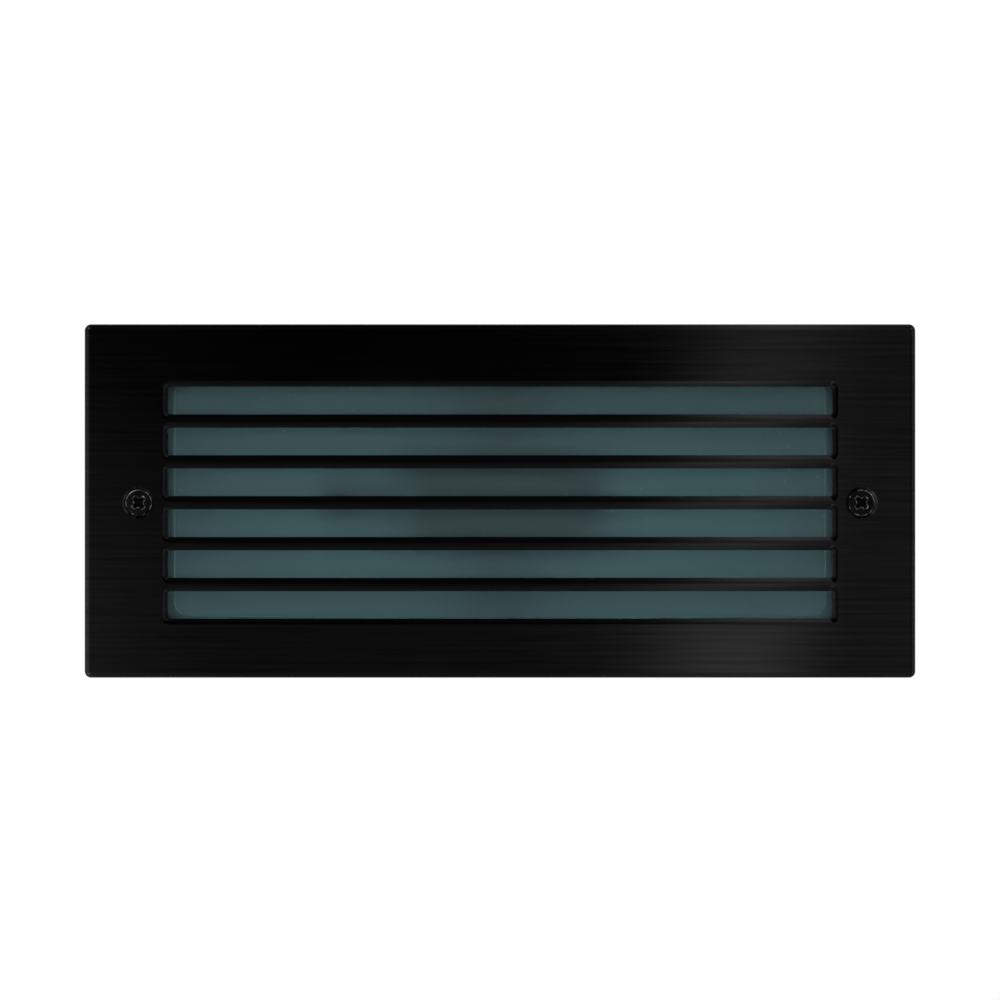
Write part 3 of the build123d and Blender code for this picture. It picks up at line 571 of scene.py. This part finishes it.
def cross_cutter(turn):
    """A tapered cross with a flared, rubbed mouth, to cut a head whose top is at the origin."""
    quarter = (
        (RECESS_REACH * RECESS_CORNER_SHARE, -RECESS_HALF_W),
        (RECESS_REACH, -RECESS_HALF_W * RECESS_TIP_SHARE),
        (RECESS_REACH, RECESS_HALF_W * RECESS_TIP_SHARE),
        (RECESS_REACH * RECESS_CORNER_SHARE, RECESS_HALF_W),
        (RECESS_ROOT, RECESS_HALF_W * RECESS_ROOT_SHARE),
        (RECESS_HALF_W * RECESS_ROOT_SHARE, RECESS_ROOT),
    )
    bm = bmesh.new()
    rows = []
    for y, share in RECESS_STEPS:
        row = []
        for k in range(4):
            angle = math.radians(turn + 90.0 * k)
            for u, v in quarter:
                x = share * (u * math.cos(angle) - v * math.sin(angle))
                z = share * (u * math.sin(angle) + v * math.cos(angle))
                row.append(bm.verts.new((x, y, z)))
        rows.append(row)
    for wall in skin(bm, rows)[:RECESS_RUBBED_STEPS]:
        for face in wall:
            face.material_index = 1
    bmesh.ops.recalc_face_normals(bm, faces=bm.faces)
    return add("cutter", new_mesh("cutter", bm))


def cut(piece, cutter):
    """Cuts a piece by another object's mesh and keeps the result."""
    cutter.location = piece.location
    step = piece.modifiers.new("cut", "BOOLEAN")
    step.operation = "DIFFERENCE"
    step.solver = "EXACT"
    step.object = cutter
    graph = bpy.context.evaluated_depsgraph_get()
    result = bpy.data.meshes.new_from_object(piece.evaluated_get(graph))
    piece.modifiers.clear()
    piece.data = result
    bpy.data.objects.remove(cutter)


def cover_screw(node, body, finishes):
    """Raised countersunk screw with a rounded rim, a cross recess and a real thread."""
    low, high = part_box(node)
    head_r = (high.x - low.x) / 2
    length = high.y - low.y
    profile = [(0.0, 0.0)]
    for share in DOME_SHARES:
        profile.append((head_r * share, SCREW_DOME * share**2))
    for angle in RIM_ANGLES:
        turn = math.radians(angle)
        radius = head_r - RIM_ROUND * (1.0 - math.sin(turn))
        profile.append((radius, SCREW_DOME + RIM_ROUND * (RIM_CENTRE_SHARE - math.cos(turn))))
    cone_start = SCREW_DOME + RIM_ROUND
    cone_end = cone_start + head_r - SCREW_NECK_R
    thread_start = cone_end + SCREW_PLAIN
    profile.append((head_r, cone_start))
    profile.append((SCREW_NECK_R, cone_end))
    profile.append((SCREW_NECK_R, thread_start - SCREW_PITCH))
    profile.append((SCREW_CORE_R, thread_start))
    profile.append((SCREW_CORE_R, length - SCREW_POINT))
    profile.append((SCREW_CORE_R * SCREW_TIP_SHARE, length))
    profile.append((0.0, length))
    bm = bmesh.new()
    lathe(bm, profile)
    place = ((low.x + high.x) / 2, low.y, (low.z + high.z) / 2)
    piece = mesh_piece(node + "_piece", bm, finishes, body, "screw_black", place, WEAR_TURN[node])
    piece.data.materials.append(finishes["screw_rubbed"])
    cut(piece, cross_cutter(RECESS_TURN[node]))
    bm = bmesh.new()
    bm.from_mesh(piece.data)
    thread(bm, thread_start, length - SCREW_POINT - SCREW_PITCH / 2)
    bmesh.ops.recalc_face_normals(bm, faces=bm.faces)
    bm.to_mesh(piece.data)
    bm.free()
    smooth(piece.data)
    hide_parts(node)


def stack(bm, x, z, rows):
    """A closed block of eight-sided rows about (x, z): each has half sizes, a corner cut and a y."""
    loops = []
    for half_w, half_h, corner, y in rows:
        loop = []
        for sign_x, sign_z in ((1, 1), (-1, 1), (-1, -1), (1, -1)):
            points = [(half_w, half_h - corner), (half_w - corner, half_h)]
            if sign_x != sign_z:
                points.reverse()
            for u, v in points:
                loop.append(bm.verts.new((x + sign_x * u, y, z + sign_z * v)))
        loops.append(loop)
    skin(bm, loops)


def slab(bm, x, z, half_w, half_h, back, rise):
    """A thin pad with softened edges that stands in front of a surface at depth back."""
    soft = rise / 2
    stack(bm, x, z, (
        (half_w, half_h, soft, back),
        (half_w, half_h, soft, back - soft),
        (half_w - soft, half_h - soft, soft, back - rise),
    ))


def led_lights(finishes):
    """LED packages with phosphor in their dishes, tinned pads beside them and the board's tracks."""
    low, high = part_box("led_chips")
    step_x = (high.x - low.x - 2 * CHIP_HALF) / (CHIP_COLUMNS - 1)
    step_z = (high.z - low.z - 2 * CHIP_HALF) / (CHIP_ROWS - 1)
    inner = CHIP_HALF - CHIP_RIM
    dish_half = inner - CHIP_BEVEL
    dish_y = low.y + CHIP_DISH
    pad_x = CHIP_HALF + PAD_W / 2
    track_half = step_x / 2 - CHIP_HALF - PAD_W
    package_rows = (
        (CHIP_HALF, CHIP_HALF, CHIP_BEVEL, high.y),
        (CHIP_HALF, CHIP_HALF, CHIP_BEVEL, low.y + CHIP_BEVEL),
        (CHIP_HALF - CHIP_BEVEL, CHIP_HALF - CHIP_BEVEL, CHIP_BEVEL, low.y),
        (inner, inner, CHIP_RIM, low.y),
        (dish_half, dish_half, CHIP_RIM, dish_y),
    )
    phosphor_rows = [(dish_half, dish_half, CHIP_RIM, dish_y - PHOSPHOR_GAP)]
    for share, corner, depth in PHOSPHOR_CROWN:
        phosphor_rows.append((dish_half * share, dish_half * share, corner, low.y + depth))
    packages, phosphor, pads, tracks = (bmesh.new() for _ in range(4))
    for row in range(CHIP_ROWS):
        z = low.z + CHIP_HALF + row * step_z
        for column in range(CHIP_COLUMNS):
            x = low.x + CHIP_HALF + column * step_x
            stack(packages, x, z, package_rows)
            stack(phosphor, x, z, phosphor_rows)
            for side in (-1, 1):
                slab(pads, x + side * pad_x, z, PAD_W / 2, PAD_H / 2, high.y, PAD_RISE)
            if column:
                slab(tracks, x - step_x / 2, z, track_half, TRACE_H / 2, high.y, TRACE_RISE)
    for end, gap in ((low.x - PAD_W, -TRACE_H), (high.x + PAD_W, TRACE_H)):
        slab(tracks, end + gap / 2, 0.0, TRACE_H / 2, step_z / 2 + TRACE_H / 2, high.y, TRACE_RISE)
    piece = mesh_piece("led_packages", packages, finishes, "box", "white_plastic")
    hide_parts("led_chips")
    mesh_piece("led_phosphor", phosphor, finishes, "box", "phosphor")
    mesh_piece("led_pads", pads, finishes, "box", "zinc_steel")
    mesh_piece("board_tracks", tracks, finishes, "box", "board_black")


def world_light():
    """White to the eye, in gloss and through glass, and a plain level of light on the surfaces."""
    world = bpy.data.worlds.new("studio")
    bpy.context.scene.world = world
    world.use_nodes = True
    world.cycles.sampling_method = "NONE"
    n = Nodes(world.node_tree)
    path = n.node("LightPath").outputs
    seen = n.math("MAXIMUM", path["Is Camera Ray"], path["Is Glossy Ray"])
    seen = n.math("MAXIMUM", seen, path["Is Transmission Ray"])
    sky = n.tree.nodes["Background"]
    n.put(sky.inputs["Color"], (1.0, 1.0, 1.0, 1.0))
    n.put(sky.inputs["Strength"], n.span(seen, (WORLD_LEVEL, 1.0), over=(0.0, 1.0)))


def area_light(name, place, size, power):
    """A square soft box that faces the origin and isn't mirrored in the part."""
    data = bpy.data.lights.new(name, "AREA")
    data.size = size
    data.energy = power
    lamp = add(name, data, place)
    lamp.rotation_euler = (-Vector(place)).to_track_quat("-Z", "Y").to_euler()
    lamp.visible_glossy = False


def floor():
    """Pale floor that holds the shadow in its middle and, to the eye, fades to white at its edge."""
    bm = bmesh.new()
    bmesh.ops.create_circle(bm, cap_ends=True, segments=FLOOR_SIDES, radius=FLOOR_R)
    mesh = new_mesh("floor", bm)
    s = Shader("floor")
    s.material.cycles.emission_sampling = "NONE"
    s.set(Base_Color=s.mix(s.noise(FLOOR_CLOUD), FLOOR_DARK, FLOOR_PALE), Roughness=FLOOR_ROUGH)
    edge = s.span(s.radius((1.0, 1.0, 0.0)), RISE, FLOOR_FADE, "SMOOTHSTEP")
    seen = s.math("MULTIPLY", edge, s.node("LightPath").outputs["Is Camera Ray"])
    white = s.node("Emission").outputs["Emission"]
    blend = s.node("MixShader", {0: seen, 1: s.surface.outputs["BSDF"], 2: white})
    s.put(s.tree.nodes["Material Output"].inputs["Surface"], blend.outputs["Shader"])
    mesh.materials.append(s.material)
    piece = add("floor", mesh, (0.0, 0.0, FLOOR_Z))
    piece.visible_glossy = False


def tent_level(n):
    """The tent's light: a soft bright band right of the middle, dim sides and round lights."""
    here = n.axes(n.place())
    x, y, z = here["X"], here["Y"], here["Z"]
    centre = n.span(z, (BAND_CENTRE - BAND_LEAN, BAND_CENTRE + BAND_LEAN), COVER_Z)
    across = n.math("SUBTRACT", x, centre)
    glows = (
        n.glow(
            (across, RISE, (-BAND_LEFT_W, 0.0)),
            (across, FALL, (0.0, BAND_RIGHT_W)),
            (z, BAND_LEVELS, COVER_Z),
            (z, (1.0, BAND_TOP_GAIN), BAND_TOP_Z),
            (z, (BAND_FOOT_GAIN, 1.0), BAND_FOOT_Z),
        ),
        n.glow(
            (x, (0.0, RIGHT_LEVEL), RIGHT_X),
            (x, (1.0, RIGHT_OUTER_GAIN), RIGHT_OUTER_X),
            (z, (RIGHT_LOW_GAIN, 1.0), RIGHT_LOW_Z),
        ),
        n.glow((x, (0.0, RIGHT_FAR_LEVEL), RIGHT_FAR_X)),
        n.glow((x, (LEFT_LEVEL, 0.0), LEFT_X), (z, (1.0, LEFT_HIGH_GAIN), COVER_Z)),
        n.glow((x, (LEFT_FAR_LEVEL, 0.0), LEFT_FAR_X)),
        n.glow(
            (z, (HAZE_LEVEL, 0.0), HAZE_Z),
            (x, (1.0, HAZE_INNER_GAIN), HAZE_INNER_X),
            (x, (1.0, HAZE_OUTER_GAIN), HAZE_OUTER_X),
        ),
        n.glow((z, (FOOT_LEVEL, 0.0), FOOT_Z)),
        n.glow((z, (0.0, TOP_LEVEL), TOP_Z)),
    )
    level = TENT_DARK
    for glow in glows:
        level = n.math("ADD", level, glow)
    for corner_x, corner_z, bright in CORNER_LIGHTS:
        aside = n.math("POWER", n.math("SUBTRACT", x, corner_x), 2.0)
        above = n.math("POWER", n.math("SUBTRACT", z, corner_z), 2.0)
        off = n.math("SQRT", n.math("ADD", aside, above))
        level = n.math("ADD", level, n.glow((off, (bright, 0.0), (0.0, CORNER_R))))
    return n.math("MAXIMUM", level, n.glow((y, RISE, TENT_FADE_Y)))


def dark_tent():
    """A dark studio tent round the front that only gloss sees."""
    bm = bmesh.new()
    bmesh.ops.create_uvsphere(bm, u_segments=TENT_SIDES, v_segments=TENT_RINGS, radius=TENT_R)
    everything = bm.verts[:] + bm.edges[:] + bm.faces[:]
    rim = (0.0, TENT_BACK, 0.0)
    bmesh.ops.bisect_plane(bm, geom=everything, plane_co=rim, plane_no=(0.0, 1.0, 0.0), clear_outer=True)
    mesh = new_mesh("tent", bm)
    material = bpy.data.materials.new("tent")
    material.use_nodes = True
    material.cycles.emission_sampling = "NONE"
    material.node_tree.nodes.clear()
    n = Nodes(material.node_tree)
    light = n.node("Emission", {"Strength": tent_level(n)})
    n.node("OutputMaterial", {"Surface": light.outputs["Emission"]})
    mesh.materials.append(material)
    tent = add("tent", mesh)
    for ray in ("camera", "diffuse", "transmission", "volume_scatter", "shadow"):
        setattr(tent, "visible_" + ray, False)


def camera():
    """Square on, level, with a lens that gives the cover's outline its width in the picture."""
    data = bpy.data.cameras.new("camera")
    picture_w = PLATE_W * IMAGE_PX / PLATE_PX
    data.sensor_width = SENSOR_MM
    data.lens = SENSOR_MM * (CAMERA_REACH + OUTLINE_BACK) / picture_w
    rise = (PLATE_CENTRE_PX - IMAGE_PX / 2) * picture_w / IMAGE_PX
    shot = add("camera", data, (0.0, PLATE_LOW.y - CAMERA_REACH, rise))
    shot.rotation_euler = (math.pi / 2, 0.0, 0.0)
    bpy.context.scene.camera = shot


bpy.context.scene.view_settings.view_transform = "Standard"
camera()
world_light()
area_light("key", KEY_PLACE, KEY_SIZE, KEY_POWER)
area_light("low", LOW_PLACE, LOW_SIZE, LOW_POWER)
floor()
dark_tent()

finishes = materials()
for part in frame["record"]["subparts"]:
    frame["nodes"][part["node"]].data.materials[0] = finishes[part["material_slot"]]

cover_screw("cover_screw_left", "screw_left", finishes)
cover_screw("cover_screw_right", "screw_right", finishes)
led_lights(finishes)
